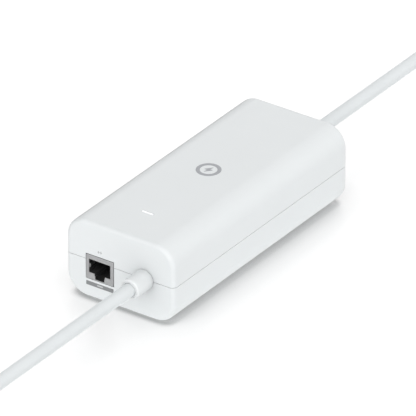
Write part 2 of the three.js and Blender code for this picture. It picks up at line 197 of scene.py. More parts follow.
def paint_rim_light_and_shade(m, k, p0=0.55, p1=0.95):
    """Paints light or shade into the colour a little where the surface turns away from the eye: a painted rim highlight
    for k > 0, a painted rim shade for k < 0, the shade stronger on upward-facing parts.
    """
    nt = m.nt
    src = m.b.inputs["Base Color"].links[0].from_socket
    lw = nt.nodes.new("ShaderNodeLayerWeight")
    lw.inputs["Blend"].default_value = 0.5
    r = nt.nodes.new("ShaderNodeMapRange")
    r.inputs["From Min"].default_value, r.inputs["From Max"].default_value = p0, p1
    r.inputs["To Min"].default_value, r.inputs["To Max"].default_value = 1, 1 + k
    nt.links.new(lw.outputs["Facing"], r.inputs["Value"])
    mix = nt.nodes.new("ShaderNodeMix")
    mix.data_type, mix.blend_type = "RGBA", "MULTIPLY"
    mix.inputs["Factor"].default_value = 1
    if k < 0:
        geo, sep, lean = nt.nodes.new("ShaderNodeNewGeometry"), nt.nodes.new("ShaderNodeSeparateXYZ"), nt.nodes.new("ShaderNodeMapRange")
        lean.inputs["From Min"].default_value, lean.inputs["From Max"].default_value = -0.57, 0.6
        lean.inputs["To Min"].default_value, lean.inputs["To Max"].default_value = 0.4, 1.0
        nt.links.new(geo.outputs["Normal"], sep.inputs[0])
        nt.links.new(sep.outputs["Z"], lean.inputs["Value"])
        nt.links.new(lean.outputs["Result"], mix.inputs["Factor"])
    nt.links.new(src, mix.inputs["A"])
    nt.links.new(r.outputs["Result"], mix.inputs["B"])
    nt.links.new(mix.outputs["Result"], m.b.inputs["Base Color"])


def shade(c, k):
    return tuple(min(1.0, x * k) for x in c)


def plastic(name, color, rough, texture=3500, bump=0.06, dist=0.00004, vary=0.02, spec=0.5, coat=0.0, sss=0.0, painted_shade_ao=None, painted_rim=None):
    m = Nodes(name, color, rough, spec=spec, coat=coat, sss=sss)
    broad = m.noise(38, 3, 0.5)
    fine = m.noise(texture, 3, 0.6)
    m.vary_color(broad, shade(color, 1 - vary), shade(color, 1 + vary * 0.6))
    m.vary_rough(m.noise(160, 3, 0.55), rough * 0.92, rough * 1.1)
    m.bump(fine, bump, dist)
    # painted light: a rim highlight or rim shade by sign, then an occlusion shade near close neighbours, both painted
    # into the colour
    if painted_rim:
        paint_rim_light_and_shade(m, painted_rim, *((0.55, 0.95) if painted_rim > 0 else (0.757, 1.0)))
    if painted_shade_ao:
        paint_contact_shade(m, *painted_shade_ao)
    return m.mat


def metal(name, color, rough, stretch=(1, 1, 1), scale=900, bump=0.05, vary=0.1):
    m = Nodes(name, color, rough, metal=1.0)
    grain = m.noise(scale, 4, 0.6, stretch=stretch)
    m.vary_color(m.noise(120, 3), shade(color, 1 - vary), shade(color, 1 + vary * 0.5))
    m.vary_rough(grain, rough * 0.8, rough * 1.25)
    m.bump(grain, bump, 0.00002)
    return m.mat


WHITE = (0.770, 0.795, 0.803)
MAT = {
    # Painted light and shade: the shell has a painted occlusion shade near close neighbours and a painted shade along
    # its outline, the collar relief a painted occlusion shade in its grooves, the cable a painted rim highlight at its
    # edges.
    "shell": plastic("shell_white", WHITE, 0.36, 5200, 0.10, 0.00002, 0.008, painted_shade_ao=(0.45, 0.025), painted_rim=-0.55),
    "relief": plastic("relief_white", (0.79, 0.812, 0.818), 0.42, 4200, 0.10, 0.00002, 0.01, painted_shade_ao=(0.22, 0.005)),
    "cable": plastic("cable_white", (0.738, 0.768, 0.778), 0.46, 2600, 0.10, 0.00003, 0.015, painted_rim=0.26),
    "steel": metal("shield_nickel", (0.50, 0.503, 0.508), 0.38, (1, 1, 12), 700),
    "steel_dark": metal("shield_inner", (0.30, 0.30, 0.31), 0.45, (1, 6, 1), 700),
    "black": plastic("jack_black", (0.028, 0.028, 0.029), 0.5, 2500, 0.15, 0.00003, 0.2),
    "gold": metal("contact_gold", (0.80, 0.56, 0.20), 0.25, (1, 10, 1), 900),
    "print": plastic("print_grey", (0.243, 0.251, 0.256), 0.55, 3000, 0.08, 0.00002, 0.05),
    "print_light": plastic("print_light", (0.52, 0.53, 0.54), 0.55, 3000, 0.08, 0.00002, 0.05),
    "icon": plastic("print_icon", (0.50, 0.51, 0.52), 0.55, 3000, 0.08, 0.00002, 0.05),
    "mark": plastic("mark_grey", (0.369, 0.380, 0.404), 0.36, 3000, 0.05, 0.00002, 0.03),
    "rubber": plastic("foot_rubber", (0.42, 0.425, 0.43), 0.75, 1500, 0.25, 0.00006, 0.06, spec=0.3),
    "steel_screw": metal("screw_zinc", (0.36, 0.36, 0.37), 0.34, (1, 1, 1), 1500, 0.06),
    "wire_blue": plastic("wire_blue", (0.03, 0.12, 0.45), 0.42, 2600, 0.1, 0.00003, 0.05),
    "wire_orange": plastic("wire_orange", (0.72, 0.22, 0.03), 0.42, 2600, 0.1, 0.00003, 0.05),
    "wire_green": plastic("wire_green", (0.04, 0.30, 0.08), 0.42, 2600, 0.1, 0.00003, 0.05),
    "wire_brown": plastic("wire_brown", (0.16, 0.07, 0.03), 0.42, 2600, 0.1, 0.00003, 0.05),
    "wire_white": plastic("wire_white", (0.75, 0.75, 0.73), 0.42, 2600, 0.1, 0.00003, 0.03),
    "copper": metal("copper_strands", (0.80, 0.40, 0.22), 0.3, (1, 1, 1), 2500, 0.2),
}


def led_material():
    m = Nodes("light_pipe", (0.95, 0.97, 1.0), 0.25)
    n = m.noise(900, 2)
    m.vary_rough(n, 0.2, 0.35)
    m.vary_color(n, (0.93, 0.95, 0.98), (1.0, 1.0, 1.0))
    m.bump(n, 0.05, 0.00003)
    m.b.inputs["Emission Color"].default_value = (1, 1, 1, 1)
    m.b.inputs["Emission Strength"].default_value = 0.15
    return m.mat


MAT["led"] = led_material()
MADE = {}


# ---- mesh helpers ---------------------------------------------------------------
def new_object(name, verts, faces):
    me = bpy.data.meshes.new(name)
    me.from_pydata([tuple(c * MM for c in v) for v in verts], [], faces)
    me.validate()
    bm = bmesh.new()
    bm.from_mesh(me)
    bmesh.ops.remove_doubles(bm, verts=bm.verts, dist=1e-8)
    bmesh.ops.recalc_face_normals(bm, faces=bm.faces)
    bm.to_mesh(me)
    bm.free()
    ob = bpy.data.objects.new(name, me)
    bpy.context.scene.collection.objects.link(ob)
    return ob


def loft(rings, closed=False, caps=True):
    """Quads between equal-length rings, with an n-gon at each end unless the loft closes on itself."""
    verts, faces, n = [], [], len(rings[0])
    for r in rings:
        verts += r
    m = len(rings)
    for j in range(m if closed else m - 1):
        a, b = j * n, ((j + 1) % m) * n
        for i in range(n):
            k = (i + 1) % n
            faces.append((a + i, a + k, b + k, b + i))
    if caps and not closed:
        faces.append(tuple(range(n))[::-1])
        faces.append(tuple(range((m - 1) * n, m * n)))
    return verts, faces


def rr(w, h, r, n, cx=0.0, cy=0.0):
    r = max(min(r, w / 2 - 1e-4, h / 2 - 1e-4), 1e-4)
    pts = []
    for q, (sx, sy) in enumerate(((1, 1), (-1, 1), (-1, -1), (1, -1))):
        ox, oy = cx + sx * (w / 2 - r), cy + sy * (h / 2 - r)
        for i in range(n + 1):
            a = math.pi / 2 * (q + i / n)
            pts.append((ox + r * math.cos(a), oy + r * math.sin(a)))
    return pts


def in_xz(pts, y):
    return [(x, y, z) for x, z in pts]


def in_xy(pts, z):
    return [(x, y, z) for x, y in pts]


def circle(r, n, cx=0.0, cy=0.0, phase=0.0):
    return [(cx + r * math.cos(2 * math.pi * i / n + phase), cy + r * math.sin(2 * math.pi * i / n + phase))
            for i in range(n)]


def lathe_y(profile, cx, cz, n=96):
    """Revolves [radius, y] about the line x = cx, z = cz. The profile runs axis to axis, or closes on itself."""
    closed = profile[0] == profile[-1] and profile[0][0] > 0
    pts = profile[:-1] if closed else profile
    verts, faces, rows = [], [], []
    for r, y in pts:
        if r < 1e-6:
            rows.append([len(verts)])
            verts.append((cx, y, cz))
        else:
            rows.append(list(range(len(verts), len(verts) + n)))
            verts += in_xz(circle(r, n, cx, cz), y)
    m = len(rows)
    for j in range(m if closed else m - 1):
        a, b = rows[j], rows[(j + 1) % m]
        for i in range(n):
            k = (i + 1) % n
            if len(a) == 1 and len(b) == 1:
                continue
            if len(a) == 1:
                faces.append((a[0], b[k], b[i]))
            elif len(b) == 1:
                faces.append((a[i], a[k], b[0]))
            else:
                faces.append((a[i], a[k], b[k], b[i]))
    return verts, faces


def lathe_z(profile, cx, cy, n=64):
    v, f = lathe_y(profile, 0, 0, n)
    return [(cx + x, cy - z, y) for x, y, z in v], f


def arc(cx, cy, r, a0, a1, n):
    return [(cx + r * math.cos(math.radians(a0 + (a1 - a0) * i / n)),
             cy + r * math.sin(math.radians(a0 + (a1 - a0) * i / n))) for i in range(n + 1)]


def boolean(ob, steps):
    """Applies a list of (operation, tool object), in order, and deletes the tools."""
    tools = set()
    for op, tool in steps:
        m = ob.modifiers.new("b", "BOOLEAN")
        m.operation, m.object, m.solver = op, tool, "EXACT"
        tools.add(tool)
    bpy.context.view_layer.update()
    dg = bpy.context.evaluated_depsgraph_get()
    me = bpy.data.meshes.new_from_object(ob.evaluated_get(dg))
    ob.modifiers.clear()
    old, ob.data = ob.data, me
    bpy.data.meshes.remove(old)
    for t in tools:
        data = t.data
        bpy.data.objects.remove(t)
        if data.users == 0:
            bpy.data.meshes.remove(data)
    return ob


def copy_tool(ob):
    c = bpy.data.objects.new(ob.name + "_c", ob.data)
    bpy.context.scene.collection.objects.link(c)
    return c


def dress(ob, mat, sharp=34, weighted=True):
    me = ob.data
    me.materials.clear()
    me.materials.append(MAT[mat] if isinstance(mat, str) else mat)
    for p in me.polygons:
        p.use_smooth = True
        p.material_index = 0
    me.set_sharp_from_angle(angle=math.radians(sharp))
    if weighted:
        w = ob.modifiers.new("normals", "WEIGHTED_NORMAL")
        w.keep_sharp = True
        w.weight = 50
    MADE[ob.name] = ob
    return ob


def piece(name, vf, mat, body="housing", replaces=(), sharp=34, weighted=True):
    ob = new_object(name, *vf)
    dress(ob, mat, sharp, weighted)
    if body:
        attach(ob, body)
    if replaces:
        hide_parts(*replaces)
    return ob


def prism(shape, y0, y1, axis="y", bevel=0.0, steps=3):
    """A closed outline pushed along an axis with rounded end edges. The outline must be star-shaped for the bevel."""
    rings = []
    cx = sum(p[0] for p in shape) / len(shape)
    cy = sum(p[1] for p in shape) / len(shape)

    def inset(d):
        if d <= 0:
            return list(shape)
        n, out = len(shape), []
        area = sum(shape[i][0] * shape[(i + 1) % n][1] - shape[(i + 1) % n][0] * shape[i][1] for i in range(n))
        sgn = 1 if area > 0 else -1
        for i in range(n):
            p0, p1, p2 = Vector(shape[i - 1]), Vector(shape[i]), Vector(shape[(i + 1) % n])
            e0, e1 = (p1 - p0), (p2 - p1)
            if e0.length < 1e-9 or e1.length < 1e-9:
                out.append(tuple(p1))
                continue
            e0.normalize()
            e1.normalize()
            n0, n1 = Vector((-e0.y, e0.x)) * sgn, Vector((-e1.y, e1.x)) * sgn
            b = n0 + n1
            k = d / max(0.3, (1 + n0.dot(n1)))
            out.append(tuple(p1 + b * k))
        return out

    levels = []
    if bevel > 0:
        for i in range(steps + 1):
            a = math.pi / 2 * i / steps
            levels.append((bevel * (1 - math.sin(a)), y0 + bevel * (1 - math.cos(a))))
        for i in range(steps, -1, -1):
            a = math.pi / 2 * i / steps
            levels.append((bevel * (1 - math.sin(a)), y1 - bevel * (1 - math.cos(a))))
    else:
        levels = [(0, y0), (0, y1)]
    for d, y in levels:
        pts = inset(d)
        if axis == "y":
            rings.append(in_xz(pts, y))
        elif axis == "z":
            rings.append(in_xy(pts, y))
        else:
            rings.append([(y, p[0], p[1]) for p in pts])
    return loft(rings)


def round_corners(pts, r, n=4):
    """Rounds every corner of a polygon."""
    out, m = [], len(pts)
    for i in range(m):
        p0, p1, p2 = Vector(pts[i - 1]), Vector(pts[i]), Vector(pts[(i + 1) % m])
        a, b = (p0 - p1), (p2 - p1)
        la, lb = a.length, b.length
        a.normalize()
        b.normalize()
        ang = a.angle(b)
        d = min(r / math.tan(ang / 2), la * 0.45, lb * 0.45)
        rr_ = d * math.tan(ang / 2)
        c = p1 + (a + b).normalized() * (rr_ / math.sin(ang / 2))
        s, e = p1 + a * d, p1 + b * d
        v0, v1 = s - c, e - c
        t = math.atan2(v0.x * v1.y - v0.y * v1.x, v0.dot(v1))
        for k in range(n + 1):
            q = t * k / n
            out.append((c.x + v0.x * math.cos(q) - v0.y * math.sin(q), c.y + v0.x * math.sin(q) + v0.y * math.cos(q)))
    return out


# ---- housing --------------------------------------------------------------------
NC, NE = ((26, 9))


def housing_solid(name):
    rings, steps = [], []
    for k in range(NE + 1):
        a = math.pi / 2 * (1 - k / NE)
        steps.append((R_END * (1 - math.cos(a)), YF + R_END * (1 - math.sin(a))))
    mids = [YF + R_END + (L - 2 * R_END) * i / 12 for i in range(1, 12)]
    rear = [(d, YR - (y - YF)) for d, y in reversed(steps)]
    for d, y in steps + [(0, y) for y in mids] + rear:
        rings.append(in_xz(rr(W - 2 * d, H - 2 * d, R_LONG - d, NC, 0, ZC), y))
    return new_object(name, *loft(rings))


def cavity_solid(name, grow=0.0):
    pts = rr(W - 2 * WALL + 2 * grow, H - 2 * WALL + 2 * grow, R_LONG - WALL + grow, 8, 0, ZC)
    return new_object(name, *loft([in_xz(pts, YF + WALL - grow), in_xz(pts, YR - WALL + grow)]))


def plan(o, z, n=10):
    return in_xy(rr(W + 2 * o, L + 2 * o, R_END + o, n), z)


GROOVE, LIP = 0.15, 0.17


def parting_tool(name, up):
    """Everything on the far side of the parting line, with a rounded lip where it meets the wall."""
    s = 1 if up else -1
    z = PART_Z - s * GROOVE / 2          # the shell's own edge plane
    rings = [plan(3, z + s * 60), plan(3, z - s * LIP), plan(0.004, z - s * LIP)]
    for i in range(1, 7):
        a = math.pi / 2 * (1 - i / 6)
        rings.append(plan(-LIP + LIP * math.sin(a), z - s * (LIP - LIP * math.cos(a)) * 1.0))
    # last ring lies on the edge plane
    return new_object(name, *loft(rings))


def frame_ring(name, grow_out, grow_in, z0, z1):
    o = [(W - 2 * WALL + 2 * grow_out, L - 2 * WALL + 2 * grow_out), (W - 2 * WALL + 2 * grow_in, L - 2 * WALL + 2 * grow_in)]
    a = rr(*o[0], 1.2, 4)
    b = rr(*o[1], 0.6, 4)
    return new_object(name, *loft([in_xy(a, z0), in_xy(a, z1), in_xy(b, z1), in_xy(b, z0)], closed=True))


def jack_hole(name):
    f, rings = 0.22, []
    w, h = JW + 0.44, JH + 0.44
    rings.append(in_xz(rr(w, h, 0.35, 4, JX, JZ), YF + 8))
    for i in range(5):
        a = math.pi / 2 * i / 4
        d = f * (1 - math.cos(a))
        rings.append(in_xz(rr(w + 2 * d, h + 2 * d, 0.35 + d, 4, JX, JZ), YF + f * (1 - math.sin(a))))
    rings.append(in_xz(rr(w + 2 * f, h + 2 * f, 0.35 + f, 4, JX, JZ), YF - 3))
    return new_object(name, *loft(rings))


def round_hole(name, x, face, s, r, f=0.25, z=None):
    """A hole through an end wall with a softened mouth; s is the outward direction along Y."""
    z = CABLE_Z if z is None else z
    rings = [in_xz(circle(r, 64, x, z), face - s * 8)]
    for i in range(5):
        a = math.pi / 2 * i / 4
        rings.append(in_xz(circle(r + f * (1 - math.cos(a)), 64, x, z), face - s * f * (1 - math.sin(a))))
    rings.append(in_xz(circle(r + f, 64, x, z), face + s * 3))
    return new_object(name, *loft(rings))


def down_hole(name, x, y, r, depth, f=0.2, n=48):
    """A recess in the underside with a softened mouth."""
    rings = [in_xy(circle(r, n, x, y), Z0 + depth)]
    for i in range(4):
        a = math.pi / 2 * i / 3
        rings.append(in_xy(circle(r + f * (1 - math.cos(a)), n, x, y), Z0 + f * (1 - math.sin(a))))
    rings.append(in_xy(circle(r + f, n, x, y), Z0 - 3))
    return new_object(name, *loft(rings))


def up_slot(name, w, h, cy, f=0.15):
    rings = [in_xy(rr(w, h, 0.3, 5, 0, cy), Z1 - 6)]
    for i in range(4):
        a = math.pi / 2 * i / 3
        d = f * (1 - math.cos(a))
        rings.append(in_xy(rr(w + 2 * d, h + 2 * d, 0.3 + d, 5, 0, cy), Z1 - f * (1 - math.sin(a))))
    rings.append(in_xy(rr(w + 2 * f, h + 2 * f, 0.3 + f, 5, 0, cy), Z1 + 3))
    return new_object(name, *loft(rings))


top = housing_solid("top_shell")
boolean(top, [
    ("DIFFERENCE", cavity_solid("t_cav")),
    ("DIFFERENCE", parting_tool("t_part", False)),
    ("DIFFERENCE", frame_ring("t_reb", 1.4, -1.0, PART_Z - 2, PART_Z + 1.7)),
    ("DIFFERENCE", jack_hole("t_jack")),
    ("DIFFERENCE", round_hole("t_front", FRONT_X, YF, -1, 4.7)),
    ("DIFFERENCE", round_hole("t_rear", REAR_X, YR, 1, 4.7)),
    ("DIFFERENCE", up_slot("t_led", 6.72, 1.37, LED_Y)),
])
dress(top, "shell")
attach(top, "housing")
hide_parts("top_cover")

bottom = housing_solid("bottom_shell")
steps = [
    ("DIFFERENCE", cavity_solid("b_cav")),
    ("DIFFERENCE", parting_tool("b_part", True)),
    ("UNION", frame_ring("b_tongue", 1.1, 0.0, PART_Z - 1.2, PART_Z + 1.4)),
]
for i, (x, y) in enumerate(SCREWS):
    steps.append(("UNION", new_object(f"b_boss{i}", *loft([in_xy(circle(4.8, 32, x, y), Z0 + 1), in_xy(circle(4.8, 32, x, y), Z0 + 4.2)]))))
    steps.append(("DIFFERENCE", down_hole(f"b_cb{i}", x, y, 3.3, 2.6)))
    steps.append(("DIFFERENCE", new_object(f"b_sh{i}", *loft([in_xy(circle(1.75, 24, x, y), Z0 - 2), in_xy(circle(1.75, 24, x, y), Z0 + 9)]))))
for i, (x, y) in enumerate(FEET):
    steps.append(("DIFFERENCE", down_hole(f"b_ft{i}", x, y, 5.2, 1.0)))
steps += [
    ("DIFFERENCE", jack_hole("b_jack")),
    ("DIFFERENCE", round_hole("b_front", FRONT_X, YF, -1, 4.7)),
    ("DIFFERENCE", round_hole("b_rear", REAR_X, YR, 1, 4.7)),
]
boolean(bottom, steps)
dress(bottom, "shell")
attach(bottom, "housing")
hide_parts("bottom_cover")

# ---- feet -------------------------------------------------------------------------
for i, (x, y) in enumerate(FEET):
    prof = [(0, 0.06), (3.4, 0.06), (3.9, 0.0)] + [(4.55 + 0.45 * math.sin(math.radians(a)), 0.45 - 0.45 * math.cos(math.radians(a)))
                                            for a in (0, 20, 40, 60, 80, 90)] + [(5.0, Z0 + 0.9), (0, Z0 + 0.9)]
    piece(f"rubber_foot_{i + 1}", lathe_z(prof, x, y, 56), "rubber", replaces=(f"foot_{i + 1}",), sharp=50)

# ---- strain reliefs ------------------------------------------------------------------
for tag, x, s in (("front", FRONT_X, -1), ("rear", REAR_X, 1)):
    face = YF if s < 0 else YR
    at = lambda d: face + s * d
    bore, out = 3.47, COLLAR_OUT
    prof = [(bore, at(-5.0)), (6.4, at(-5.0)), (6.4, at(-2.65)), (4.3, at(-2.65)), (4.3, at(0.03)), (5.05, at(0.03)), (5.09, at(0.09)),
            (5.16, at(0.24)), (5.25, at(0.38)), (5.30, at(0.51)), (5.32, at(0.68))]
    prof += [(5.32 - 0.10 * k / 8, at(0.8 + (out - 2.0) * k / 8)) for k in range(1, 9)]
    prof += [(4.82 + 0.40 * math.cos(math.radians(a)), at(out - 0.98 + 0.40 * math.sin(math.radians(a))))
             for a in range(12, 67, 9)]
    prof += [(4.80, at(out - 0.50)), (4.62, at(out - 0.40)), (4.44, at(out - 0.31)), (4.30, at(out - 0.26))]
    prof += [(4.24, at(out - 0.27)), (4.18, at(out - 0.33)), (4.10, at(out - 0.36)), (4.02, at(out - 0.33)), (3.97, at(out - 0.20))]
    prof += [(3.77 + 0.18 * math.cos(math.radians(a)), at(out - 0.08 + 0.18 * math.sin(math.radians(a)))) for a in (8, 36, 63, 90, 117, 144, 170)]
    prof += [(3.60, at(out - 0.18)), (3.50, at(out - 0.26)), (bore, at(out - 0.40))]
    prof.append((bore, at(-5.0)))
    piece(f"{tag}_collar", lathe_y(prof, x, CABLE_Z, 96), "relief", replaces=(f"{tag}_strain_relief",), sharp=40)

# ---- leads ---------------------------------------------------------------------------
END = r_hi[1]
STEP = 1.5


def tube(y0, y1, x, n=72):
    count = max(2, int(abs(y1 - y0) / STEP))
    rings = [in_xz(circle(CABLE_R, n, x, CABLE_Z), y0 + (y1 - y0) * i / count) for i in range(count + 1)]
    return rings


core_front, core_rear = mmbox("front_cable_core"), mmbox("rear_cable_core")
for tag, x, s, cores in (("front", FRONT_X, -1, 4), ("rear", REAR_X, 1, 3)):
    face = YF if s < 0 else YR
    at = lambda d: face + s * d
    node = mmbox(f"{tag}_cable_run")
    jacket_end = abs(node[0][1] if s < 0 else node[1][1]) - abs(face)
    base = mmbox(f"{tag}_cable_base")
    base_far = abs(base[0][1] if s < 0 else base[1][1]) - abs(face)
    p1 = (COLLAR_OUT + 2.4) + 0.3 + CABLE_R
    p2 = base_far + 0.3 + CABLE_R
    mid = (p1 + base_far) / 2
    ym = lambda d: at(d)
    # fixed length
    a = piece(f"{tag}_lead_near", loft(tube(at(-8), at(mid), x)), "cable", body=None, sharp=60, weighted=False)
    at(COLLAR_OUT + 0.8) * MM
    at(mid - 0.6) * MM
    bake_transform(a)
    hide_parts(f"{tag}_cable_stub", f"{tag}_cable_base")
    # straight run, with a cut end showing the jacket's thickness
    rings = tube(at(mid), at(jacket_end - 0.25), x)
    for k in range(1, 4):
        q = math.radians(90 * k / 3)
        rings.append(in_xz(circle(CABLE_R - 0.25 + 0.25 * math.cos(q), 72, x, CABLE_Z), at(jacket_end - 0.25 + 0.25 * math.sin(q))))
    rings.append(in_xz(circle(2.55, 72, x, CABLE_Z), at(jacket_end)))
    rings.append(in_xz(circle(2.45, 72, x, CABLE_Z), at(jacket_end - 0.12)))
    rings.append(in_xz(circle(2.45, 72, x, CABLE_Z), at(jacket_end - 5.5)))
    b = piece(f"{tag}_lead_far", loft(rings), "cable", body=None, sharp=60, weighted=False)
    at(mid + 0.6) * MM
    at(p2 + (p2 - mid) - 0.6) * MM
    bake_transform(b)
    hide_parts(f"{tag}_cable_run")

# ---- jack -----------------------------------------------------------------------------
def opening_outline(g=0.0):
    return [(JX - OPEN_W / 2 - g, OZ1 + g), (JX - OPEN_W / 2 - g, OZ0 - g), (JX - N1W / 2 - g, OZ0 - g),
            (JX - N1W / 2 - g, OZ0 - N1H - g), (JX - N2W / 2 - g, OZ0 - N1H - g), (JX - N2W / 2 - g, OZ0 - ND - g),
            (JX + N2W / 2 + g, OZ0 - ND - g), (JX + N2W / 2 + g, OZ0 - N1H - g), (JX + N1W / 2 + g, OZ0 - N1H - g),
            (JX + N1W / 2 + g, OZ0 - g), (JX + OPEN_W / 2 + g, OZ0 - g), (JX + OPEN_W / 2 + g, OZ1 + g)]


jy0, jy1 = s_lo[1], s_hi[1]
shield = new_object("jack_shell", *prism(rr(JW, JH, 0.75, 6, JX, JZ), jy0, jy1, "y", 0.28, 4))
boolean(shield, [
    ("DIFFERENCE", new_object("s_in", *prism(rr(JW - 0.7, JH - 0.7, 0.4, 6, JX, JZ), jy0 + 0.35, jy1 + 2))),
    ("DIFFERENCE", new_object("s_open", *prism(round_corners(opening_outline(), 0.22, 4), jy0 - 2, jy0 + 2))),
])
dress(shield, "steel")
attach(shield, "housing")
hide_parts("jack_shield")

# black insert: flared plug opening, combs between the contacts, pockets for the side fingers
h_lo, h_hi = mmbox("jack_housing")
f_lo, f_hi = mmbox("shield_finger_left")
hx, hz = (h_lo[0] + h_hi[0]) / 2, (h_lo[2] + h_hi[2]) / 2
insert = new_object("jack_insert", *prism(rr(h_hi[0] - h_lo[0], h_hi[2] - h_lo[2], 0.4, 4, hx, hz), h_lo[1], h_hi[1], "y", 0.15, 3))
rings = []
for g, y in ((0.0, YF + 14.4), (0.0, YF + 1.1), (0.12, YF + 0.7), (0.3, YF + 0.1), (0.3, YF - 2)):
    rings.append(in_xz(round_corners(opening_outline(g), 0.25, 4), y))
cuts = [("DIFFERENCE", new_object("i_open", *loft(rings)))]
CX = [JX + (i - 3.5) * 1.02 for i in range(8)]
for i, x in enumerate(CX):
    cuts.append(("DIFFERENCE", new_object(f"i_comb{i}", *prism(rr(0.68, 2.4, 0.1, 3, x, OZ1 + 0.25), YF + 1.2, YF + 15.2))))
for i, sx in enumerate((-1, 1)):
    cuts.append(("DIFFERENCE", new_object(f"i_pocket{i}", *prism(
        rr(3.2, f_hi[2] - f_lo[2] + 0.5, 0.2, 3, JX + sx * (OPEN_W / 2 + 0.9), (f_lo[2] + f_hi[2]) / 2), YF - 1, YF + 8.4))))
boolean(insert, cuts)
dress(insert, "black")
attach(insert, "housing")
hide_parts("jack_housing")


def smooth_path(pts, n):
    """Catmull-Rom through 2-D points, n samples a span."""
    out, m = [], len(pts)
    for i in range(m - 1):
        p0, p1, p2, p3 = (Vector(pts[max(i - 1, 0)]), Vector(pts[i]), Vector(pts[i + 1]), Vector(pts[min(i + 2, m - 1)]))
        for k in range(n):
            t = k / n
            out.append(0.5 * (2 * p1 + (p2 - p0) * t + (2 * p0 - 5 * p1 + 4 * p2 - p3) * t * t + (3 * p1 - p0 - 3 * p2 + p3) * t ** 3))
    out.append(Vector(pts[-1]))
    return out


def strip(path, width, thick, place, r=0.06, n=3, width_at=None):
    """A rounded flat strip swept along a 2-D path. place(u, v, w) turns path coordinates and width into a point."""
    rings = []
    for i, p in enumerate(path):
        a, b = path[max(i - 1, 0)], path[min(i + 1, len(path) - 1)]
        t = (b - a).normalized()
        nrm = Vector((-t.y, t.x))
        end = min(i, len(path) - 1 - i)
        k = 0.72 if end == 0 else 1.0
        w = (width_at(i / (len(path) - 1)) if width_at else width)
        rings.append([place(p.x + nrm.x * v * k, p.y + nrm.y * v * k, u * k) for u, v in rr(w, thick, r, n)])
    return loft(rings)


# eight sprung contacts
n_lo, n_hi = mmbox("jack_contact_1")
wire = [(n_lo[1] + 0.16, n_hi[2] - 0.14), (n_lo[1] + 0.34, n_hi[2] - 0.42), (n_lo[1] + 0.95, n_hi[2] - 0.72),
        (YF + 6.0, OZ1 - 0.72), (n_hi[1] - 1.3, n_lo[2] + 0.32), (n_hi[1] - 0.45, n_lo[2] + 0.24), (n_hi[1] - 0.12, n_lo[2] + 0.38)]
for i, x in enumerate(CX):
    piece(f"contact_wire_{i + 1}", strip(smooth_path(wire, 6), 0.42, 0.26, lambda u, v, w, x=x: (x + w, u, v), 0.09, 3),
          "gold", body="jack_springs", replaces=(f"jack_contact_{i + 1}",), sharp=50, weighted=False)

# side earthing fingers, leaf springs bowed towards the plug
for name, sx in (("left", -1), ("right", 1)):
    g_lo, g_hi = mmbox(f"shield_finger_{name}")
    zc, hgt = (g_lo[2] + g_hi[2]) / 2, g_hi[2] - g_lo[2]
    inner = g_hi[0] if sx < 0 else g_lo[0]
    root = g_lo[0] if sx < 0 else g_hi[0]
    line = [(g_lo[1] - 0.22, root - sx * 0.25), (g_lo[1] + 0.1, root - sx * 0.45), (g_lo[1] + 0.45, inner + sx * 0.40),
            (g_lo[1] + 0.9, inner + sx * 0.36), (g_lo[1] + 2.2, inner + sx * 0.54), (g_hi[1] - 0.1, root - sx * 0.42)]
    piece(f"earth_finger_{name}", strip(smooth_path(line, 7), hgt, 0.2, lambda u, v, w, zc=zc: (v, u, zc + w), 0.08, 3,
                                        width_at=lambda t, hgt=hgt: hgt * (1 - 0.32 * t)),
          "steel", body=f"finger_{name}", replaces=(f"shield_finger_{name}",), sharp=50, weighted=False)

# ---- prints, mark, light pipe -----------------------------------------------------------
l_lo, l_hi = mmbox("port_label_bar")
piece("label_bar", prism(rr(l_hi[0] - l_lo[0], l_hi[2] - l_lo[2], 0.12, 4, (l_lo[0] + l_hi[0]) / 2, (l_lo[2] + l_hi[2]) / 2),
                         YF - 0.06, YF + 0.02, "y", 0.02, 2), "print", replaces=("port_label_bar",))
piece("label_dash", prism(rr(3.5, 0.85, 0.4, 6, (l_lo[0] + l_hi[0]) / 2 + 0.1, (l_lo[2] + l_hi[2]) / 2 + 0.1),
                          YF - 0.09, YF - 0.05, "y", 0.01, 2), "print_light")
i_lo, i_hi = mmbox("port_icon")
icx, icz = (i_lo[0] + i_hi[0]) / 2, (i_lo[2] + i_hi[2]) / 2
for tag, sx in (("left", -1), ("right", 1)):
    tri = [(icx + sx * 1.35, icz), (icx + sx * 0.55, icz + 0.8), (icx + sx * 0.55, icz + 0.2), (icx + sx * 0.12, icz + 0.2),
           (icx + sx * 0.12, icz - 0.2), (icx + sx * 0.55, icz - 0.2), (icx + sx * 0.55, icz - 0.8)]
    piece(f"icon_arrow_{tag}", prism(tri[::sx], YF - 0.05, YF + 0.02), "icon",
          replaces=(("port_icon",) if sx < 0 else ()), weighted=False)

m_lo, m_hi = mmbox("top_mark_ring")
mcx, mcy, mro = (m_lo[0] + m_hi[0]) / 2, (m_lo[1] + m_hi[1]) / 2, (m_hi[0] - m_lo[0]) / 2
mri, mz = mro - 1.9, Z1 + 0.07
ring_prof = [(mri, Z1 - 0.03), (mri, mz - 0.05), (mri + 0.02, mz - 0.015), (mri + 0.07, mz), (mro - 0.07, mz), (mro - 0.02, mz - 0.015),
             (mro, mz - 0.05), (mro, Z1 - 0.03), (mri, Z1 - 0.03)]
piece("mark_ring", lathe_z(ring_prof, mcx, mcy, 144), "mark", replaces=("top_mark_ring",), sharp=50)
bolt = [(1.0, 3.2), (-2.15, -0.6), (-0.35, -0.6), (-1.0, -3.2), (2.15, 0.6), (0.35, 0.6)]
piece("mark_bolt", prism(round_corners([(mcx + x, mcy + y) for x, y in bolt], 0.12, 3), Z1 - 0.03, mz, "z"), "mark",
      replaces=("top_mark_bolt",))

piece("light_lens", prism(rr(6.5, 1.16, 0.3, 6, 0, LED_Y), Z1 - 3.4, Z1 - 0.02, "z", 0.12, 3), "led",
      replaces=("led_light_pipe",))

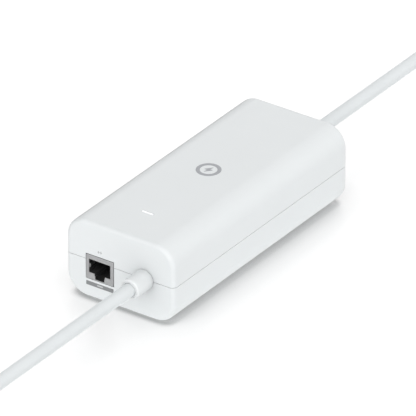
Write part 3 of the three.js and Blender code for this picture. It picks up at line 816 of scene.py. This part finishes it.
# ---- screws ---------------------------------------------------------------------------------
for i, (x, y) in enumerate(SCREWS):
    k_lo, k_hi = mmbox(f"screw_{i + 1}")
    kz0, kz1, kr = k_lo[2], k_hi[2], (k_hi[0] - k_lo[0]) / 2
    prof = [(0, kz0), (1.2, kz0 + 0.02), (1.9, kz0 + 0.12), (2.4, kz0 + 0.33), (2.75, kz0 + 0.62), (kr - 0.02, kz0 + 0.95), (kr, kz0 + 1.2),
            (kr, kz0 + 1.85), (kr - 0.1, kz0 + 1.98), (1.4, kz0 + 2.0)]
    z = kz0 + 2.6
    while z < kz1 - 3:
        prof += [(1.16, z), (1.46, z + 0.35), (1.16, z + 0.7)]
        z += 0.95
    prof += [(1.0, kz1 - 1.6), (0.5, kz1 - 0.3), (0, kz1)]
    head = new_object(f"case_screw_{i + 1}", *lathe_z(prof, x, y, 48))
    cross = []
    for ang in (45, 135):
        ca, sa = math.cos(math.radians(ang)), math.sin(math.radians(ang))
        slot_rings = []
        for dz, hl, hw in ((-0.4, 1.75, 0.36), (0.5, 1.35, 0.3), (1.15, 0.8, 0.24), (1.45, 0.3, 0.2)):
            slot_rings.append([(x + px * ca - py * sa, y + px * sa + py * ca, kz0 + dz) for px, py in rr(2 * hl, 2 * hw, 0.1, 3)])
        cross.append(("DIFFERENCE", new_object(f"k{i}_{ang}", *loft(slot_rings))))
    boolean(head, cross)
    dress(head, "steel_screw", sharp=38)
    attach(head, "housing")
    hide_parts(f"screw_{i + 1}")

# ---- conductors at the cut ends ---------------------------------------------------------------
def conductor(name, x, z, r, y_in, y_strip, y_end, mat, body, replaces=()):
    """Insulation with a stripped copper tip."""
    s = 1 if y_end > y_in else -1
    prof = [(0, y_in), (r, y_in), (r, y_strip - s * 0.08), (r - 0.06, y_strip), (r * 0.62, y_strip), (0, y_strip - s * 0.3)]
    piece(name, lathe_y(prof, x, z, 28), mat, body=body, replaces=replaces, sharp=50, weighted=False)
    rc = r * 0.56
    tip = [(0, y_strip - s * 0.2), (rc, y_strip - s * 0.2), (rc, y_end - s * 0.06), (rc - 0.05, y_end), (0, y_end)]
    piece(name + "_copper", lathe_y(tip, x, z, 20), "copper", body=body, sharp=50, weighted=False)


for tag, cx, s in (("front", FRONT_X, -1), ("rear", REAR_X, 1)):
    q_lo, q_hi = mmbox(f"{tag}_cable_core")
    y_in, y_end = (q_hi[1], q_lo[1]) if s < 0 else (q_lo[1], q_hi[1])
    y_strip = y_end - s * 0.9
    if tag == "rear":
        for k, (col, ang) in enumerate((("wire_brown", 90), ("wire_blue", 210), ("wire_green", 330))):
            a = math.radians(ang)
            conductor(f"rear_{col}", cx + 1.12 * math.cos(a), CABLE_Z + 1.12 * math.sin(a), 0.86, y_in, y_strip, y_end, col,
                      "rear_lead_run", ("rear_cable_core",) if k == 0 else ())
    else:
        for k, col in enumerate(("wire_blue", "wire_orange", "wire_green", "wire_brown")):
            a = math.radians(45 + 90 * k)
            px, pz = cx + 1.28 * math.cos(a), CABLE_Z + 1.28 * math.sin(a)
            tx, tz = -math.sin(a) * 0.5, math.cos(a) * 0.5
            conductor(f"front_{col}_a", px + tx, pz + tz, 0.46, y_in, y_strip, y_end, col, "front_lead_run",
                      ("front_cable_core",) if k == 0 else ())
            conductor(f"front_{col}_b", px - tx, pz - tz, 0.46, y_in, y_strip, y_end, "wire_white", "front_lead_run")

# ---- floor, light, camera -----------------------------------------------------------
floor = new_object("floor", [(-3000, -3000, 0), (3000, -3000, 0), (3000, 3000, 0), (-3000, 3000, 0)], [(0, 1, 2, 3)])
fm = Nodes("floor_white", (0.93, 0.93, 0.93), 0.25, spec=0.25)
fm.vary_rough(fm.noise(30, 2), 0.22, 0.28)


def floor_with_painted_shadow(m):
    """A bright sweep: evenly lit far away, a painted shadow near the object drawn from occlusion ramps into its glow
    and colour, and a faint sheen.
    """
    nt = m.nt
    painted_shade_ao = nt.nodes.new("ShaderNodeAmbientOcclusion")
    painted_shade_ao.samples = 16
    painted_shade_ao.inputs["Distance"].default_value = 0.02
    lean = nt.nodes.new("ShaderNodeCombineXYZ")
    for k, v in zip("XYZ", Vector((-0.4, -0.15, 1)).normalized()):
        lean.inputs[k].default_value = v
    nt.links.new(lean.outputs[0], painted_shade_ao.inputs["Normal"])
    strip = nt.nodes.new("ShaderNodeAmbientOcclusion")
    strip.samples = 12
    strip.inputs["Distance"].default_value = 0.005
    ramps = []
    # each ramp turns occlusion into a painted shadow level
    for stops, shade_in in ((FLOOR_SHADOW_STOPS, painted_shade_ao), (FLOOR_BASE_SHADOW, painted_shade_ao), (FLOOR_NEAR_SHADOW, strip), (FLOOR_TUCK_SHADOW, strip), (FLOOR_OPEN_SHADOW, painted_shade_ao)):
        ramp = nt.nodes.new("ShaderNodeValToRGB")
        ramp.color_ramp.interpolation = "LINEAR"
        els = ramp.color_ramp.elements
        while len(els) < len(stops):
            els.new(0.5)
        for e, (pos, v) in zip(els, stops):
            e.position = pos
            e.color = (v, v, v, 1)
        nt.links.new(shade_in.outputs["AO"], ramp.inputs["Fac"])
        ramps.append(ramp)
    low = nt.nodes.new("ShaderNodeMath")
    low.operation = "MINIMUM"
    nt.links.new(ramps[0].outputs["Color"], low.inputs[0])
    nt.links.new(ramps[2].outputs["Color"], low.inputs[1])
    # the camera sees the floor as a glow, dimmed near the object: a painted shadow
    em = nt.nodes.new("ShaderNodeEmission")
    em.inputs["Strength"].default_value = 0.6
    nt.links.new(low.outputs[0], em.inputs["Color"])
    # the camera-ray diffuse colour is darkened near the object too: painted shadow
    df = nt.nodes.new("ShaderNodeBsdfDiffuse")
    tuck = nt.nodes.new("ShaderNodeMath")
    tuck.operation = "MAXIMUM"
    nt.links.new(ramps[3].outputs["Color"], tuck.inputs[0])
    nt.links.new(ramps[4].outputs["Color"], tuck.inputs[1])
    base = nt.nodes.new("ShaderNodeMath")
    base.operation = "MULTIPLY"
    nt.links.new(ramps[1].outputs["Color"], base.inputs[0])
    nt.links.new(tuck.outputs[0], base.inputs[1])
    nt.links.new(base.outputs[0], df.inputs["Color"])
    gl = nt.nodes.new("ShaderNodeBsdfGlossy")
    gl.inputs["Color"].default_value = (0.15, 0.15, 0.15, 1)
    gl.inputs["Roughness"].default_value = 0.3
    a1, a2 = nt.nodes.new("ShaderNodeAddShader"), nt.nodes.new("ShaderNodeAddShader")
    nt.links.new(em.outputs[0], a1.inputs[0])
    nt.links.new(df.outputs[0], a1.inputs[1])
    nt.links.new(a1.outputs[0], a2.inputs[0])
    nt.links.new(gl.outputs[0], a2.inputs[1])
    # painted bounce: the strip next to the object glows a little for rays that are not camera rays, standing in for
    # light bounced towards the object
    ao2 = nt.nodes.new("ShaderNodeAmbientOcclusion")
    ao2.samples = 4
    ao2.inputs["Distance"].default_value = 0.02
    near = nt.nodes.new("ShaderNodeMapRange")
    near.inputs["To Min"].default_value = 0.4
    near.inputs["To Max"].default_value = 0.0
    nt.links.new(ao2.outputs["AO"], near.inputs["Value"])
    painted_bounce_glow = nt.nodes.new("ShaderNodeEmission")
    nt.links.new(near.outputs["Result"], painted_bounce_glow.inputs["Strength"])
    a3 = nt.nodes.new("ShaderNodeAddShader")
    nt.links.new(m.b.outputs[0], a3.inputs[0])
    nt.links.new(painted_bounce_glow.outputs[0], a3.inputs[1])
    lp = nt.nodes.new("ShaderNodeLightPath")
    mix = nt.nodes.new("ShaderNodeMixShader")
    nt.links.new(lp.outputs["Is Camera Ray"], mix.inputs[0])
    nt.links.new(a3.outputs[0], mix.inputs[1])
    nt.links.new(a2.outputs[0], mix.inputs[2])
    nt.links.new(mix.outputs[0], m.out.inputs["Surface"])


# These ramps turn occlusion into floor brightness and paint the floor's shadow near the object: the first two set the
# camera glow, the other three the diffuse colour.
FLOOR_SHADOW_STOPS = [(0.0, 0.10), (0.187, 0.16), (0.267, 0.19), (0.318, 0.23), (0.40, 0.34), (0.435, 0.435), (0.485, 0.484), (0.529, 0.523),
               (0.603, 0.566), (0.666, 0.606), (0.752, 0.637), (0.784, 0.65), (0.837, 0.686), (0.922, 0.724), (0.965, 0.745), (1.0, 0.79)]
FLOOR_NEAR_SHADOW = [(0.0, 0.10), (0.398, 0.156), (0.627, 0.20), (0.66, 0.27), (0.76, 0.50), (0.82, 0.53), (0.95, 0.64), (1.0, 1.0)]
FLOOR_BASE_SHADOW = [(0.0, 0.2), (0.18, 0.36), (0.27, 0.465), (1.0, 0.465)]
FLOOR_TUCK_SHADOW = [(0.0, 0.5), (0.38, 0.5), (0.46, 0.56), (0.56, 0.76), (0.66, 0.92), (0.76, 1.0)]
FLOOR_OPEN_SHADOW = [(0.0, 1.0), (0.265, 1.0), (0.295, 0.0)]
floor_with_painted_shadow(fm)
floor.data.materials.append(fm.mat)
floor.visible_shadow = False

scene = bpy.context.scene
scene.view_settings.view_transform = "Standard"
scene.view_settings.look = "None"
scene.view_settings.exposure = 0.0
scene.view_settings.gamma = 1.0

world = bpy.data.worlds.new("soft_studio")
scene.world = world
world.use_nodes = True
wt = world.node_tree
world_dir = wt.nodes.new("ShaderNodeTexCoord").outputs["Generated"]


def lobe(direction, power, strength):
    """A soft pool of light from one direction, like a large diffused box."""
    d = wt.nodes.new("ShaderNodeVectorMath")
    d.operation = "DOT_PRODUCT"
    d.inputs[1].default_value = Vector(direction).normalized()
    wt.links.new(world_dir, d.inputs[0])
    last = d.outputs["Value"]
    for op, v in (("MAXIMUM", 0.0), ("POWER", power), ("MULTIPLY", strength)):
        m = wt.nodes.new("ShaderNodeMath")
        m.operation = op
        m.inputs[1].default_value = v
        wt.links.new(last, m.inputs[0])
        last = m.outputs[0]
    return last


total = None
for part in (lobe((0, 0, 1), 1, 0.064), lobe((0, -1, 0.15), 2, 1.71), lobe((0, 1, 0.15), 2, 1.042),
             lobe((-0.498, 0.711, 0.497), 6, 0.58), lobe((0.3, -0.8, 0.6), 4, 0.775), lobe((0.8, 0.2, 0.5), 4, 1.30)):
    if total is None:
        total = part
        continue
    add = wt.nodes.new("ShaderNodeMath")
    wt.links.new(total, add.inputs[0])
    wt.links.new(part, add.inputs[1])
    total = add.outputs[0]
sky = wt.nodes.new("ShaderNodeSeparateXYZ")
wt.links.new(world_dir, sky.inputs[0])
above = wt.nodes.new("ShaderNodeMath")
above.operation = "GREATER_THAN"
above.inputs[1].default_value = 0.0
wt.links.new(sky.outputs["Z"], above.inputs[0])
lit = wt.nodes.new("ShaderNodeMath")
lit.operation = "MULTIPLY"
wt.links.new(total, lit.inputs[0])
wt.links.new(above.outputs[0], lit.inputs[1])
wt.nodes["Background"].inputs["Color"].default_value = (1, 1, 1, 1)
wt.links.new(lit.outputs[0], wt.nodes["Background"].inputs["Strength"])

cam_data = bpy.data.cameras.new("camera")
cam = bpy.data.objects.new("camera", cam_data)
scene.collection.objects.link(cam)
AZ, EL = math.radians(34.997), math.radians(29.787)
back = Vector((math.sin(AZ) * math.cos(EL), -math.cos(AZ) * math.cos(EL), math.sin(EL)))
right = Vector((math.cos(AZ), math.sin(AZ), 0))
up = Vector((-math.sin(AZ) * math.sin(EL), math.cos(AZ) * math.sin(EL), math.cos(EL)))
DIST = 4.505
target = (right * -0.005 + up * 18.182) * MM + Vector((0, 0, Z0 * MM))
rot = Matrix((right, up, back)).transposed()
cam.matrix_world = Matrix.Translation(target + back * DIST) @ rot.to_4x4()
cam_data.sensor_width = 36
cam_data.lens = 9338.0 / 416 * 36
cam_data.clip_start, cam_data.clip_end = 0.1, 50
scene.camera = cam

# ---- carried-over nodes ---------------------------------------------------------------
BASE = {
    "screw_steel": ("steel", None), "shield_steel": ("steel", None), "jack_plastic": ("black", None),
    "contact_gold": ("gold", None), "print_grey": ("print", None), "mark_grey": ("mark", None),
    "light_pipe": ("led", None), "foot_rubber": ("rubber", None), "relief": ("relief", None),
    "cable_jacket": ("cable", None), "shell": ("shell", None), "conductors": ("copper", None),
}
record = frame["record"]
slots = {m["slot"]: m for m in record["materials"]}
made = {}
for sp in record["subparts"]:
    ob = frame["nodes"][sp["node"]]
    slot = sp["material_slot"]
    if slot in BASE:
        mat = MAT[BASE[slot][0]]
    else:
        if slot not in made:
            c = tuple(x ** 2.2 for x in slots[slot]["base_color"][:3])
            if slots[slot]["class"] in ("aluminium", "brushed_steel", "brass"):
                made[slot] = metal("inner_" + slot, c, 0.35)
            else:
                made[slot] = plastic("inner_" + slot, c, 0.5, 1800, 0.15, 0.00005, 0.1)
        mat = made[slot]
    ob.data.materials.clear()
    ob.data.materials.append(mat)
